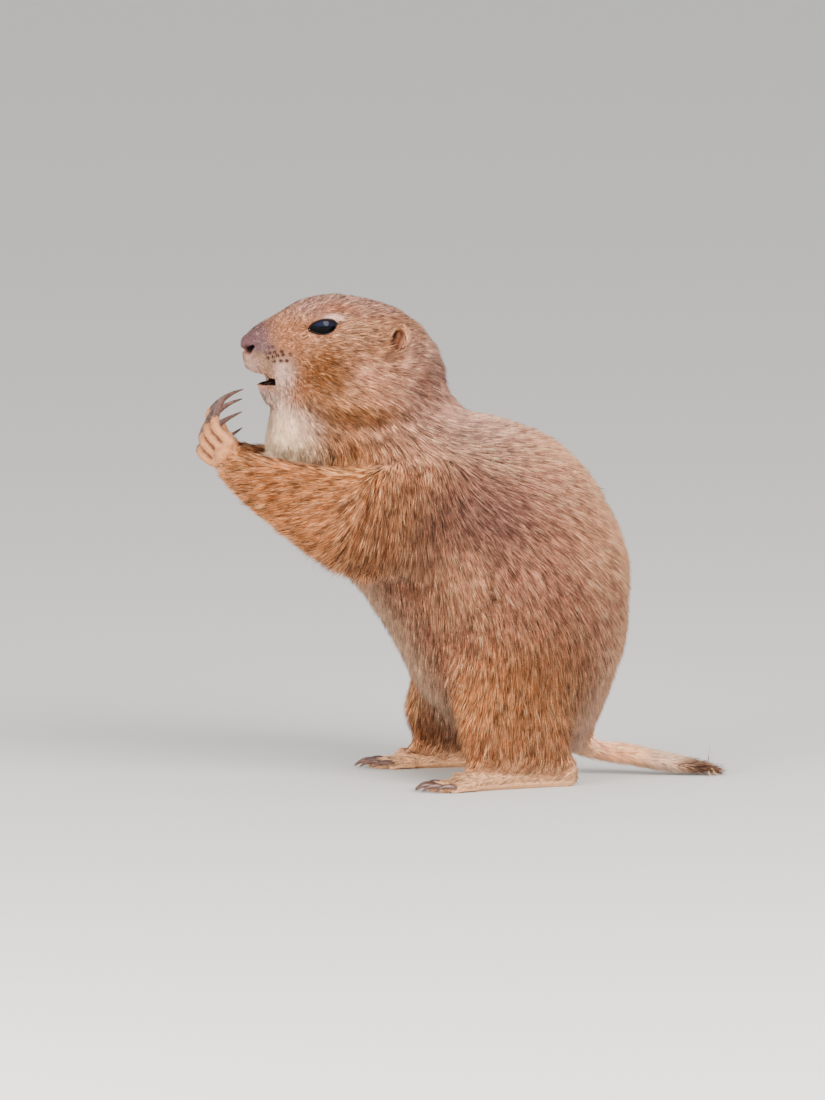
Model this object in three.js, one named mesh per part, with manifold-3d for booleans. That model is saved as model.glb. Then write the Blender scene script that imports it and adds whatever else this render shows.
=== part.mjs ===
// A life-size prairie dog that sits on its haunches, leaning forward, with both
// hands raised in front of its mouth and its tail laid on the ground behind it.
// It faces -Y, its left side is +X, and +Z is up. Millimetres. Every form reaches
// out to the tips of the coat.
import * as THREE from "three";
import { mergeVertices } from "three/addons/utils/BufferGeometryUtils.js";
import Module from "manifold-3d";

const wasm = await Module();
wasm.setup();

// Driving dimensions
const gap = 0.3; // between neighbouring pieces
const headTurn = THREE.MathUtils.degToRad(6); // towards its own right
const headPivot = -14; // Y of the joint that the head turns on
const farHandBack = 9; // the right hand is held nearer the mouth than the left
const footLength = 60;
const footSplay = THREE.MathUtils.degToRad(7);
const foreClawLength = 14;
const clawHook = 0.2; // how far a fore claw's tip bends in, as a share of its length
const hindClawLength = 7.5;

// Coat colours
const crownBrown = 0xa58372;
const backTan = 0xc09a72;
const flankOrange = 0xcf9a63;
const handTan = 0xcba78c;
const tailCream = 0xd3b187;
const tailDark = 0x5a4136;
const clawHorn = 0x3a2c28;
const eyeBlack = 0x0b0a10;
const earPeach = 0xc99a78;

// Solids

// A closed surface whose shared corners are merged, as a solid.
function toSolid(geometry) {
  const bare = geometry.clone();
  bare.deleteAttribute("normal");
  bare.deleteAttribute("uv");
  const merged = mergeVertices(bare, 1e-4);
  return new wasm.Manifold(
    new wasm.Mesh({
      numProp: 3,
      vertProperties: merged.attributes.position.array,
      triVerts: new Uint32Array(merged.index.array),
    }),
  );
}

function toGeometry(solid) {
  const mesh = solid.getMesh();
  const corners = new Float32Array(mesh.numVert * 3);
  for (let i = 0; i < mesh.numVert; i++) {
    corners.set(mesh.vertProperties.subarray(i * mesh.numProp, i * mesh.numProp + 3), i * 3);
  }
  const geometry = new THREE.BufferGeometry();
  geometry.setAttribute("position", new THREE.BufferAttribute(corners, 3));
  geometry.setIndex(new THREE.BufferAttribute(new Uint32Array(mesh.triVerts), 1));
  geometry.computeVertexNormals();
  return geometry;
}

// The largest closed surface of a solid, without loose scraps.
function largest(solid) {
  return solid.decompose().sort((a, b) => b.volume() - a.volume())[0];
}

function cut(solid, ...tools) {
  return largest(tools.reduce((left, tool) => left.subtract(tool), solid));
}

function join(...solids) {
  return largest(solids.reduce((whole, solid) => whole.add(solid)));
}

// A closed body laid along a row of oval rings, with a rounded cap at each end.
// ringAt(t) gives a ring's centre, its half-axes across and over, how much wider its
// lower half is, and how full it is: 2 is an ellipse. grow makes it fatter all round.
function ringBody(ringAt, { sides, rows, caps, capRows = 4, grow = 0, bend }) {
  const allRows = rows + 2 * capRows;
  const geometry = new THREE.SphereGeometry(1, sides, allRows);
  const position = geometry.attributes.position;
  const point = new THREE.Vector3();
  for (let row = 0; row <= allRows; row++) {
    const t = THREE.MathUtils.clamp((row - capRows) / rows, 0, 1);
    const fromStart = Math.min(row / capRows, 1);
    const fromEnd = Math.min((allRows - row) / capRows, 1);
    const size = Math.sin((Math.min(fromStart, fromEnd) * Math.PI) / 2);
    const push =
      (caps[1] + grow) * Math.cos((fromEnd * Math.PI) / 2) -
      (caps[0] + grow) * Math.cos((fromStart * Math.PI) / 2);
    const { centre, across, over, low = 0, full = 2 } = ringAt(t);
    const along = new THREE.Vector3().crossVectors(across, over).normalize();
    const halfAcross = across.clone().setLength((across.length() + grow) * size);
    const halfOver = over.clone().setLength((over.length() + grow) * size);
    for (let side = 0; side <= sides; side++) {
      const angle = (-(side % sides) / sides) * 2 * Math.PI;
      const flare = 1 - low * Math.sin(angle);
      const spread = flare * Math.sign(Math.cos(angle)) * Math.abs(Math.cos(angle)) ** (2 / full);
      point.copy(centre).addScaledVector(halfAcross, spread);
      point.addScaledVector(halfOver, Math.sin(angle)).addScaledVector(along, push);
      if (bend) bend(point, t);
      position.setXYZ(row * (sides + 1) + side, point.x, point.y, point.z);
    }
  }
  return toSolid(geometry);
}

const sideways = new THREE.Vector3(1, 0, 0);

// A limb's body from stations [x, y, z, half-width along X, half-depth].
function limb(stations, { sides = 16, rows, caps = [4, 4], grow = 0, capRows = 3 }) {
  const spine = new THREE.CatmullRomCurve3(
    stations.map(([x, y, z]) => new THREE.Vector3(x, y, z)),
    false,
    "centripetal",
  );
  const sizes = new THREE.CatmullRomCurve3(
    stations.map(([, , , wide, deep]) => new THREE.Vector3(wide, deep, 0)),
    false,
    "catmullrom",
  );
  const ringAt = (t) => {
    const tangent = spine.getTangent(t);
    const across = sideways.clone().addScaledVector(tangent, -tangent.x).normalize();
    const over = new THREE.Vector3().crossVectors(tangent, across).normalize();
    const size = sizes.getPoint(t);
    return {
      centre: spine.getPoint(t),
      across: across.multiplyScalar(size.x),
      over: over.multiplyScalar(size.y),
    };
  };
  return ringBody(ringAt, { sides, rows, caps, grow, capRows });
}

function ellipsoid([x, y, z], [rx, ry, rz], { tilt = 0, segments = 12, rings = 8 } = {}) {
  const geometry = new THREE.SphereGeometry(1, segments, rings);
  geometry.scale(rx, ry, rz).rotateX(tilt).translate(x, y, z);
  return toSolid(geometry);
}

function mirrored(stations) {
  return stations.map(([x, ...rest]) => [-x, ...rest]);
}

// Trunk: one loft from the nose over the neck and back down to the rump, parted
// afterwards. Each station is a ring from a point on the back line to a point on
// the belly line, both [Y, Z], with its half-width, how much wider it is low down,
// and how full it is.
const trunkStations = [
  { back: [-86.6, 181.2], belly: [-86, 168.4], half: 5.8, low: 0, full: 2.2 },
  { back: [-84.2, 184], belly: [-82.6, 161.3], half: 9, low: -0.04, full: 2.2 },
  { back: [-79.9, 186.9], belly: [-80.2, 157], half: 11, low: 0, full: 2.2 },
  { back: [-74.4, 189.6], belly: [-79, 154.4], half: 13, low: 0.04, full: 2.3 },
  { back: [-68.2, 193.3], belly: [-77.4, 153], half: 16.2, low: 0.06, full: 2.4 },
  { back: [-62.1, 196], belly: [-76.3, 151.6], half: 19.8, low: 0.07, full: 2.5 },
  { back: [-50.7, 197.7], belly: [-75.8, 149.6], half: 24, low: 0.09, full: 2.6 },
  { back: [-38.8, 196], belly: [-76, 147.2], half: 26.8, low: 0.12, full: 2.7 },
  { back: [-25.8, 192.2], belly: [-76.6, 144.6], half: 28.4, low: 0.12, full: 2.7 },
  { back: [-13.4, 183], belly: [-77.4, 141.4], half: 29, low: 0.1, full: 2.6 },
  { back: [-6.6, 170.8], belly: [-78.4, 137.4], half: 29, low: 0.06, full: 2.4 },
  { back: [-3, 158.7], belly: [-78, 131.6], half: 30, low: 0.02, full: 2.2 },
  { back: [4.5, 150.8], belly: [-75.6, 122.8], half: 32.5, low: 0, full: 2.1 },
  { back: [18.5, 147.3], belly: [-70, 111.8], half: 36, low: 0, full: 2.1 },
  { back: [35.4, 141.6], belly: [-61, 99.6], half: 40.5, low: 0, full: 2.1 },
  { back: [50.1, 130.2], belly: [-50.5, 87.6], half: 44.5, low: 0, full: 2.1 },
  { back: [61.9, 113.5], belly: [-40.2, 75.6], half: 47.5, low: 0, full: 2.1 },
  { back: [69.8, 96.2], belly: [-31.6, 63.6], half: 49.5, low: 0, full: 2.1 },
  { back: [72.2, 79.7], belly: [-25, 51.6], half: 50, low: 0, full: 2.1 },
  { back: [71, 63.5], belly: [-18.5, 39.6], half: 48.5, low: 0, full: 2.1 },
  { back: [67.2, 47.3], belly: [-10.1, 29.2], half: 44, low: 0, full: 2.1 },
  { back: [62.1, 32], belly: [-1.7, 20.8], half: 37, low: 0, full: 2.1 },
  { back: [56.4, 18.3], belly: [9.3, 14.2], half: 27, low: 0, full: 2 },
];

const lastStation = trunkStations.length - 1;

function stationCurve(pick) {
  return new THREE.CatmullRomCurve3(trunkStations.map(pick), false, "catmullrom", 0.5);
}

const backLine = stationCurve(({ back: [y, z] }) => new THREE.Vector3(0, y, z));
const bellyLine = stationCurve(({ belly: [y, z] }) => new THREE.Vector3(0, y, z));
const girth = stationCurve(({ half, low, full }) => new THREE.Vector3(half, low, full));

function trunkRing(t) {
  const back = backLine.getPoint(t);
  const belly = bellyLine.getPoint(t);
  const size = girth.getPoint(t);
  return {
    centre: back.clone().add(belly).multiplyScalar(0.5),
    across: new THREE.Vector3(-size.x, 0, 0),
    over: back.clone().sub(belly).multiplyScalar(0.5),
    low: size.y,
    full: size.z,
  };
}

// Turns a point of the head about the upright line through the head's joint.
function turnHead(point, share = 1) {
  const angle = headTurn * share;
  const ahead = point.y - headPivot;
  const x = point.x * Math.cos(angle) + ahead * Math.sin(angle);
  point.y = headPivot + ahead * Math.cos(angle) - point.x * Math.sin(angle);
  point.x = x;
}

// The turn fades out from the cheeks to the shoulders.
const fullTurnStation = 8;
const noTurnStation = 14;
function bendNeck(point, t) {
  const station = t * lastStation;
  turnHead(point, 1 - THREE.MathUtils.smoothstep(station, fullTurnStation, noTurnStation));
}

function trunkBody(grow = 0) {
  const shape = { sides: 28, rows: 1.5 * lastStation, caps: [1.6, 8], capRows: 3, grow };
  return ringBody(trunkRing, { ...shape, bend: bendNeck });
}

// A thin slab across the trunk at a station, which parts it there.
function trunkSlab(station) {
  const { centre, over } = trunkRing(station / lastStation);
  const slab = new THREE.BoxGeometry(160, 200, gap);
  slab.rotateX(Math.atan2(over.z, over.y)).translate(0, centre.y, centre.z);
  return toSolid(slab);
}

const partings = [10.4, 12.6, 15.5, 19.4];
const [headBlank, neckBlank, shouldersBlank, torsoBlank, rumpBlank] = trunkBody()
  .subtract(partings.map(trunkSlab).reduce((slabs, slab) => slabs.add(slab)))
  .decompose()
  .sort((a, b) => b.boundingBox().max[2] - a.boundingBox().max[2]);

// Moves a solid of the unturned head to its place.
function onHead(solid) {
  return solid.warp((corner) => {
    const point = new THREE.Vector3(...corner);
    turnHead(point);
    [corner[0], corner[1], corner[2]] = point.toArray();
  });
}

// Eyes: balls behind almond openings, with a raised lid all round.
const eyeCentre = [13.4, -58, 186];
const eyeRadius = 6.4;
const eyeOpening = [6.3, 3.2]; // half-length and half-height
const lidThickness = 1;
const lidReach = 2; // how much longer the lids are than the eye
const eyeTilt = THREE.MathUtils.degToRad(-8); // the front corner is lower

function eyeBall(side, grow = 0) {
  const [x, y, z] = eyeCentre;
  const radius = eyeRadius + grow;
  return onHead(ellipsoid([side * x, y, z], [radius, radius, radius]));
}

// An almond that runs out from the eye, pointed at both corners.
function lidOpening(side) {
  const [length, height] = eyeOpening;
  const almond = new THREE.Shape();
  almond.moveTo(-length, 0);
  almond.quadraticCurveTo(0, 2 * height, length, 0);
  almond.quadraticCurveTo(0, -2 * height, -length, 0);
  const depth = 2.2 * eyeRadius;
  const block = new THREE.ExtrudeGeometry(almond, { depth, bevelEnabled: false, curveSegments: 8 });
  const [x, y, z] = eyeCentre;
  block.rotateZ(eyeTilt).rotateX(Math.PI / 2).rotateZ(Math.PI / 2);
  block.translate(side > 0 ? x : -x - depth, y, z);
  return onHead(toSolid(block));
}

function lids(side) {
  const [x, y, z] = eyeCentre;
  const size = [eyeRadius + lidThickness, eyeRadius + lidReach, eyeRadius + lidThickness];
  return onHead(ellipsoid([side * x, y, z], size, { tilt: eyeTilt, segments: 16, rings: 10 }));
}

// Ears: a low oval cup on each side of the head, open outwards and forwards.
const earCentre = [20.6, -28, 181];
const earSize = [4.4, 4.8, 6];
const earWall = 1.1;
const earOpening = [2.4, -1.2]; // how far the hollow is set outwards and forwards
const earTilt = THREE.MathUtils.degToRad(-14);

function earBlank(side, grow = 0) {
  const [x, y, z] = earCentre;
  const size = earSize.map((half) => half + grow);
  return onHead(ellipsoid([side * x, y, z], size, { tilt: earTilt, segments: 12, rings: 8 }));
}

function ear(side) {
  const [x, y, z] = earCentre;
  const [outwards, forwards] = earOpening;
  const hollow = onHead(
    ellipsoid(
      [side * (x + outwards), y + forwards, z],
      earSize.map((half) => half - earWall),
      { tilt: earTilt, segments: 12, rings: 8 },
    ),
  );
  return cut(earBlank(side), hollow);
}

// Head: broad brows over the eyes, a bare nose pad with two nostrils, whisker pads,
// and an open mouth with a lower lip and the tongue behind it.
const brow = (side) => ellipsoid([side * 10.6, -54, 185], [9.4, 17, 9.2], { segments: 16, rings: 10 });
const nosePad = () => ellipsoid([0, -84.8, 178], [5.4, 4, 4.4], { tilt: 0.25 });
const nostril = (side) =>
  ellipsoid([side * 5.6, -85.6, 176.2], [2.8, 1.5, 1.1], { tilt: 0.6, segments: 8, rings: 6 });
const whiskerPad = (side) => ellipsoid([side * 4.8, -77.4, 170.4], [6.8, 9.4, 7]);
const lowerLip = () => ellipsoid([0, -75.6, 160], [6.4, 6.2, 3.4]);
const mouthOpening = () => ellipsoid([0, -82.6, 164.5], [12, 11, 2.4], { segments: 16, tilt: -0.13 });
const tongue = () => ellipsoid([0, -72.6, 161.8], [4.2, 6.4, 1.8]);
const lipCleft = () => ellipsoid([0, -88.6, 169], [0.5, 3, 5], { segments: 8, rings: 6 });

function head() {
  const sides = [1, -1];
  const forms = [nosePad(), lowerLip(), ...sides.map(whiskerPad), ...sides.map(brow)];
  const closed = join(headBlank, ...forms.map(onHead), ...sides.map(lids));
  const opened = cut(closed, onHead(mouthOpening()));
  return cut(
    join(opened, onHead(tongue())),
    onHead(lipCleft()),
    ...sides.map((side) => onHead(nostril(side))),
    ...sides.map((side) => eyeBall(side, gap)),
    ...sides.map((side) => lidOpening(side)),
    ...sides.map((side) => earBlank(side, gap)),
  );
}

// Forelimbs: one loft from the shoulder through the elbow to the wrist, parted at
// the elbow and the wrist. Stations are for the left arm.
const armStations = [
  [26, -8, 122, 13, 20],
  [31, -26, 113, 14, 24],
  [34, -45, 108.5, 14, 24.5],
  [33.5, -61, 112.5, 12.8, 20.5],
  [30, -76.5, 119.4, 11, 15.6],
  [25, -91.5, 126.8, 8.8, 11],
  [20.5, -98.4, 133.6, 5.8, 7.2],
];
const elbowStation = 2.6;
const wristStation = 5.9;

function armSide(side) {
  const back = side < 0 ? farHandBack : 0;
  return armStations.map(([x, y, z, wide, deep]) => [side * x, y + back, z, wide, deep]);
}

function arm(side, grow = 0) {
  return limb(armSide(side), { sides: 14, rows: 10, caps: [10, 1], grow });
}

// A thin slab square to a limb's line, which parts it there.
function limbSlab(stations, station, wide) {
  const points = stations.map(([x, y, z]) => new THREE.Vector3(x, y, z));
  const line = new THREE.CatmullRomCurve3(points, false, "centripetal");
  const t = station / (stations.length - 1);
  const slab = new THREE.BoxGeometry(wide, wide, gap);
  const upright = new THREE.Vector3(0, 0, 1);
  slab.applyQuaternion(new THREE.Quaternion().setFromUnitVectors(upright, line.getTangent(t)));
  slab.translate(...line.getPoint(t).toArray());
  return toSolid(slab);
}

function armPieces(side) {
  const stations = armSide(side);
  const slabs = [limbSlab(stations, elbowStation, 70), limbSlab(stations, wristStation, 30)];
  const [upperArm, forearm] = arm(side)
    .subtract(slabs[0])
    .subtract(slabs[1])
    .decompose()
    .sort((a, b) => b.volume() - a.volume());
  return { upperArm, forearm };
}

// Hands: a palm, four digits that curl towards the mouth and a short thumb.
// The hand's own axes are ahead along the fingers, spread towards the little
// finger, and the back of the hand.
const palmLength = 7;
const palmRadius = 5;
const digitPitch = 4.9;
const digitRadius = 1.85;
const fingertipRadius = 2;
const digitLengths = [12, 13.4, 12.6, 10];
const digitFan = 0.12; // how much further apart the fingertips are than the knuckles
const thumbRoot = [4, -4, -1]; // in the hand's axes
const thumbTip = [9, -7.6, -2.4];
const clawRootRadius = 1.3;
const clawTipRadius = 0.35;
const clawStoutness = 2.2; // how far towards its tip a claw stays thick
const digitSteps = 6;
const curl = THREE.MathUtils.degToRad(100); // of a fingertip, from the palm's plane
const straightness = 2.4; // how late along its length a digit bends

function handFrame(side) {
  const [x, y, z] = armSide(side)[armStations.length - 1];
  const ahead = new THREE.Vector3(-0.34 * side, -0.74, 0.58).normalize();
  const spread = new THREE.Vector3(-0.66 * side, -0.2, -0.72);
  spread.addScaledVector(ahead, -spread.dot(ahead)).normalize();
  const back = new THREE.Vector3().crossVectors(ahead, spread).multiplyScalar(side);
  return { wrist: new THREE.Vector3(x, y, z), ahead, spread, back };
}

function handPoint(frame, ahead, spread, back) {
  return frame.wrist
    .clone()
    .addScaledVector(frame.ahead, ahead)
    .addScaledVector(frame.spread, spread)
    .addScaledVector(frame.back, back);
}

// The middle line of a digit from its knuckle, which curls towards the palm at its tip.
function digitLine(frame, digit) {
  const step = digitLengths[digit] / digitSteps;
  const offset = (digit - 1.5) * digitPitch;
  let ahead = palmLength;
  let back = 0.6;
  const points = [];
  for (let i = 0; i <= digitSteps; i++) {
    points.push(handPoint(frame, ahead, offset * (1 + (digitFan * i) / digitSteps), back));
    const turned = curl * ((i + 0.5) / digitSteps) ** straightness;
    ahead += step * Math.cos(turned);
    back -= step * Math.sin(turned);
  }
  return points;
}

// A round tapering body along a line of points. hinge is the line that it bends about,
// and stoutness how far towards its end it stays thick.
function taperedTube(points, radii, shape) {
  const { hinge, sides = 6, rows = 3, caps = [1, 1], capRows = 1, grow = 0, stoutness = 1.2 } = shape;
  const spine = new THREE.CatmullRomCurve3(points, false, "centripetal");
  const ringAt = (t) => {
    const tangent = spine.getTangent(t);
    const across = hinge.clone().addScaledVector(tangent, -hinge.dot(tangent)).normalize();
    const over = new THREE.Vector3().crossVectors(tangent, across);
    const radius = THREE.MathUtils.lerp(radii[0], radii[1], t ** stoutness);
    return {
      centre: spine.getPoint(t),
      across: across.multiplyScalar(radius),
      over: over.multiplyScalar(radius),
    };
  };
  return ringBody(ringAt, { sides, rows, caps, grow, capRows });
}

// A fore claw goes on along the digit's curl and straightens to a point.
function foreClaw(side, digit, grow = 0) {
  const frame = handFrame(side);
  const root = digitLine(frame, digit).slice(-2);
  const way = root[1].clone().sub(root[0]).normalize();
  const middle = root[1].clone().addScaledVector(way, foreClawLength * 0.5);
  const tip = middle
    .clone()
    .addScaledVector(way, foreClawLength * 0.5)
    .addScaledVector(frame.back, -foreClawLength * clawHook);
  const shape = { hinge: frame.spread, grow, caps: [0.5, 0.5], rows: 5, stoutness: clawStoutness };
  return taperedTube([root[0], root[1], middle, tip], [clawRootRadius, clawTipRadius], shape);
}

function hand(side) {
  const frame = handFrame(side);
  const at = (...place) => handPoint(frame, ...place);
  const palmLine = [0.16, 0.6, 1].map((share) => at(share * palmLength, 0, 0));
  const palm = taperedTube(palmLine, [palmRadius + 0.4, palmRadius - 0.4], {
    hinge: frame.spread,
    sides: 10,
    caps: [0.4, 2.4],
    capRows: 2,
  });
  const knuckles = taperedTube(
    [-1.5, 0, 1.5].map((place) => at(palmLength - 0.6, place * digitPitch, place ? 0.2 : 0.6)),
    [2.4, 2.2],
    { hinge: frame.back, sides: 8, caps: [1.2, 1.2], capRows: 2 },
  );
  const digits = digitLengths.map((_, digit) =>
    taperedTube(digitLine(frame, digit), [digitRadius, fingertipRadius], {
      hinge: frame.spread,
      rows: digitSteps,
      caps: [1, 1.4],
    }),
  );
  const thumb = taperedTube(
    [at(...thumbRoot), at(...thumbTip)],
    [2, 1.5],
    { hinge: frame.back, caps: [1, 1.2], rows: 2 },
  );
  return join(palm, knuckles, ...digits, thumb);
}

// Hind limbs: a broad haunch, a folded lower leg and a long flat foot.
const haunchStations = [
  [28, 40, 62, 14, 21],
  [32, 24, 50, 17.5, 27],
  [34.5, 8, 40, 16, 25],
  [36, -5, 33, 12.5, 17],
];
const lowerLegStations = [
  [38.5, -5, 24, 12, 15],
  [38.5, 8, 21.5, 13, 16.5],
  [38, 21, 20, 13, 15.5],
  [36.5, 34, 18, 11.5, 13.5],
];

function haunch(side, grow = 0) {
  const stations = side > 0 ? haunchStations : mirrored(haunchStations);
  return limb(stations, { sides: 18, rows: 6, caps: [10, 9], grow });
}

function lowerLeg(side, grow = 0) {
  const stations = side > 0 ? lowerLegStations : mirrored(lowerLegStations);
  return limb(stations, { sides: 12, rows: 5, caps: [8, 5], grow });
}

// The foot's own line runs from the heel to the toes.
const heel = [37, 36];
const footHeights = [6.2, 5.6, 4.6, 3.6]; // of the middle line, heel to toe roots
const footHalfWidths = [6, 6.6, 7.4, 8];
const footHalfDepths = [7, 6.4, 5.4, 4.4];
const soleLength = 0.76 * footLength;
const toeOffsets = [-6.8, -3.5, 0, 3.5, 6.8];
const toeLengths = [7.5, 12, 13.5, 12.5, 8.5];
const toeRadius = 2.3;

function footPoint(side, ahead, outwards, up) {
  const x = heel[0] + Math.sin(footSplay) * ahead + Math.cos(footSplay) * outwards;
  const y = heel[1] - Math.cos(footSplay) * ahead + Math.sin(footSplay) * outwards;
  return new THREE.Vector3(side * x, y, up);
}

function footSole(side, grow = 0) {
  const stations = footHeights.map((up, i) => {
    const place = footPoint(side, (soleLength * i) / (footHeights.length - 1), 0, up);
    return [...place.toArray(), footHalfWidths[i], footHalfDepths[i]];
  });
  return limb(stations, { sides: 12, rows: 3, caps: [4, 4], capRows: 2, grow });
}

function toeLine(side, toe) {
  const out = toeOffsets[toe];
  const length = toeLengths[toe];
  return [
    footPoint(side, soleLength - 3, out * 0.9, 2.6),
    footPoint(side, soleLength + 0.5 * length, out * 1.1, 2.4),
    footPoint(side, soleLength + length, out * 1.2, 1.7),
  ];
}

function toe(side, number) {
  return taperedTube(toeLine(side, number), [toeRadius, toeRadius * 0.8], {
    hinge: sideways,
    caps: [1, 1.4],
    rows: 2,
  });
}

function hindClaw(side, number, grow = 0) {
  const root = toeLine(side, number)[2];
  const out = toeOffsets[number] * 0.02;
  const ahead = (share, up) => {
    const step = footPoint(side, share * hindClawLength, share * out, 0).sub(footPoint(side, 0, 0, 0));
    return root.clone().add(step).setZ(up);
  };
  const line = [ahead(-0.15, 2), ahead(0.2, 2.3), ahead(0.65, 2.1), ahead(1, 1)];
  return taperedTube(line, [1.1, 0.35], { hinge: sideways, grow, caps: [0.4, 0.4] });
}

const toeNumbers = toeOffsets.keys().toArray();
function foot(side) {
  return join(footSole(side), ...toeNumbers.map((number) => toe(side, number)));
}

// Tail: laid back along the ground, swinging a little to its left.
const tailStations = [
  [1, 42, 16.5, 7.5, 6.5],
  [2, 52, 12.4, 7.5, 6.2],
  [5, 64, 9.6, 7.5, 5.6],
  [9, 76, 7, 8, 5.2],
  [13, 86, 5, 8.4, 4.9],
  [17, 95, 3.7, 7.2, 4.2],
  [20, 101, 2.7, 4.4, 3],
];
const darkTipStation = 4;

function tail(grow = 0) {
  return limb(tailStations, { sides: 12, rows: 9, caps: [5, 2.6], grow });
}

// Floor: everything ends on one level.
const groundBlock = new THREE.BoxGeometry(400, 400, 60).translate(0, 0, -30);
const ground = toSolid(groundBlock);

// Assembly
const model = new THREE.Group();

function place(name, solid, colour, roughness = 0.9) {
  const material = new THREE.MeshStandardMaterial({ color: colour, roughness, metalness: 0 });
  const mesh = new THREE.Mesh(toGeometry(solid), material);
  mesh.name = name;
  model.add(mesh);
}

const bothSides = [
  [1, "left"],
  [-1, "right"],
];

function everyLimb(make) {
  return bothSides.flatMap(([side]) => make(side));
}

const grownArms = everyLimb((side) => [arm(side, gap)]);
const grownHaunches = everyLimb((side) => [haunch(side, gap)]);
const grownLowerLegs = everyLimb((side) => [lowerLeg(side, gap)]);
const grownFeet = everyLimb((side) => [footSole(side, gap)]);
const grownTail = tail(gap);
const limbs = [...grownArms, ...grownHaunches, ...grownLowerLegs, ...grownFeet, grownTail];

place("head", cut(head(), ...grownArms), crownBrown);
place("neck", cut(neckBlank, ...grownArms), crownBrown);
place("shoulders", cut(shouldersBlank, ...limbs), crownBrown);
place("torso", cut(torsoBlank, ...limbs), backTan);
place("rump", cut(rumpBlank, ...limbs), backTan);

for (const [side, name] of bothSides) {
  place("eye_" + name, eyeBall(side), eyeBlack, 0.08);
  place("ear_" + name, ear(side), earPeach);

  const { upperArm, forearm } = armPieces(side);
  place("upper_arm_" + name, upperArm, flankOrange);
  place("forearm_" + name, forearm, flankOrange);
  const fingers = digitLengths.keys().toArray();
  const wristSlab = limbSlab(armSide(side), wristStation, 30);
  const clawRecesses = fingers.map((digit) => foreClaw(side, digit, gap));
  place("hand_" + name, cut(hand(side), arm(side, gap), wristSlab, ...clawRecesses), handTan);
  fingers.forEach((digit) => {
    place("fore_claw_" + name + "_" + (digit + 1), foreClaw(side, digit), clawHorn, 0.4);
  });

  place("haunch_" + name, haunch(side), flankOrange);
  place("lower_leg_" + name, cut(lowerLeg(side), haunch(side, gap)), flankOrange);
  const toeRecesses = toeNumbers.map((number) => hindClaw(side, number, gap));
  const bareFoot = cut(foot(side), ground, haunch(side, gap), lowerLeg(side, gap), ...toeRecesses);
  place("foot_" + name, bareFoot, handTan);
  toeNumbers.forEach((number) => {
    place("hind_claw_" + name + "_" + (number + 1), hindClaw(side, number), clawHorn, 0.4);
  });
}

const [tailBase, tailTip] = tail()
  .subtract(ground)
  .subtract(limbSlab(tailStations, darkTipStation, 40))
  .decompose()
  .sort((a, b) => b.volume() - a.volume());
place("tail", tailBase, tailCream);
place("tail_tip", tailTip, tailDark);

// The origin is on the ground under the middle of the whole model.
const box = new THREE.Box3().setFromObject(model);
const middle = box.getCenter(new THREE.Vector3());
model.position.set(-middle.x, -middle.y, 0);

export default model;
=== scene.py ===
# A life-size prairie dog that sits on its haunches with both hands raised to its mouth.
# Metres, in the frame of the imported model: it faces -Y, its left side is +X, +Z is up.
import math
from collections import namedtuple

import bpy
import numpy as np
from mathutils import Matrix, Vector
from mathutils.bvhtree import BVHTree
from mathutils.kdtree import KDTree


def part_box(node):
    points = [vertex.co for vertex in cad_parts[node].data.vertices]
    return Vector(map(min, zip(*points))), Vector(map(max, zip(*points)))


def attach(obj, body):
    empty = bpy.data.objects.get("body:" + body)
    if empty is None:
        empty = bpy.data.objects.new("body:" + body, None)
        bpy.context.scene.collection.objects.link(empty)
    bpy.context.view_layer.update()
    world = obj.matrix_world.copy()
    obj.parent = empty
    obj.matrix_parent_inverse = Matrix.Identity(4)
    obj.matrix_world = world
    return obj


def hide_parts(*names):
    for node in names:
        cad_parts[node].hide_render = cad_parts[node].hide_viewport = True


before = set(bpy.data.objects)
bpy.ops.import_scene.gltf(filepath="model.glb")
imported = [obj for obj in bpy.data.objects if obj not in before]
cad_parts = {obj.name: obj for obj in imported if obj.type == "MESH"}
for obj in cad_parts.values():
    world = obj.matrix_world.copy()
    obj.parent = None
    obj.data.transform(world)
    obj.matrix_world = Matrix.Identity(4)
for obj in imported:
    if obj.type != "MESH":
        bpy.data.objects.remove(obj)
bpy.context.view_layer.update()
millimetre = 0.001

# Camera
# A long lens at the photograph's angle. The 825 x 1100 frame is 0.4046 mm for each
# pixel at the animal, and the point of the ground under its middle shows at origin_pixel.
frame_pixels = (825, 1100)
pixel_size = 0.4046 * millimetre
origin_pixel = (447.6, 778.2)
camera_azimuth = math.radians(74)
camera_elevation = math.radians(6)
camera_distance = 8.0

camera_right = Vector((math.cos(camera_azimuth), math.sin(camera_azimuth), 0))
camera_back = Vector((
    math.sin(camera_azimuth) * math.cos(camera_elevation),
    -math.cos(camera_azimuth) * math.cos(camera_elevation),
    math.sin(camera_elevation),
))
camera_up = camera_back.cross(camera_right)
aim = camera_right * (frame_pixels[0] / 2 - origin_pixel[0]) * pixel_size
aim += camera_up * (origin_pixel[1] - frame_pixels[1] / 2) * pixel_size

bpy.ops.object.camera_add(location=aim + camera_back * camera_distance)
camera = bpy.context.object
camera.name = "camera"
camera.rotation_euler = (-camera_back).to_track_quat("-Z", "Y").to_euler()
camera.data.lens = camera.data.sensor_width * camera_distance / (frame_pixels[1] * pixel_size)
camera.data.clip_end = 50
bpy.context.scene.camera = camera

# Floor and light
# A plain pale floor and an even pale surround. One large soft lamp stands above the
# animal's left flank and is the only one that its eyes mirror. Two weaker ones light
# its face and its chest.
def paint(red, green, blue):
    """The linear colour of a paint-chart value from 0 to 255."""
    return tuple((channel / 255) ** 2.2 for channel in (red, green, blue))


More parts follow.
